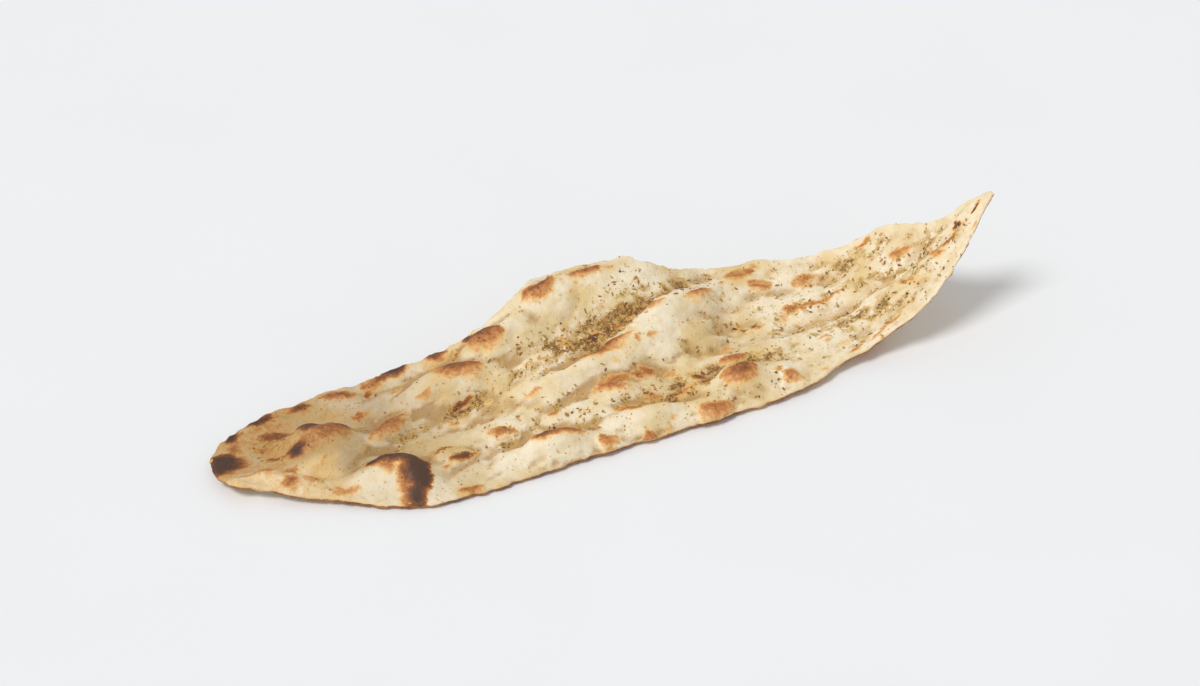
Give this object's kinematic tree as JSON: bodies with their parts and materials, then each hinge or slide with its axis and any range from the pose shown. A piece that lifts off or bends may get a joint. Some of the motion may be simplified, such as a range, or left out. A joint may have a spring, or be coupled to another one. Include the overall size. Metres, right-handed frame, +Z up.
{
  "type": "naan bread",
  "caption": "Long strip of naan cut from a large flatbread, thin and blistered, with a blunt end and a tip that curls up.",
  "frame": {"origin": "centre of the bread's bounding box in plan, on the table under it", "axes": "+X along the strip towards its curled tip, +Y towards the lifted back edge, +Z up"},
  "size_m": [0.2836, 0.083, 0.0481],
  "materials": {
    "crust": "matte",
    "herbs": "matte",
    "spice": "matte",
    "char": "matte"
  },
  "bodies": {
    "root": {"naan": "crust"}
  },
  "joints": []
}
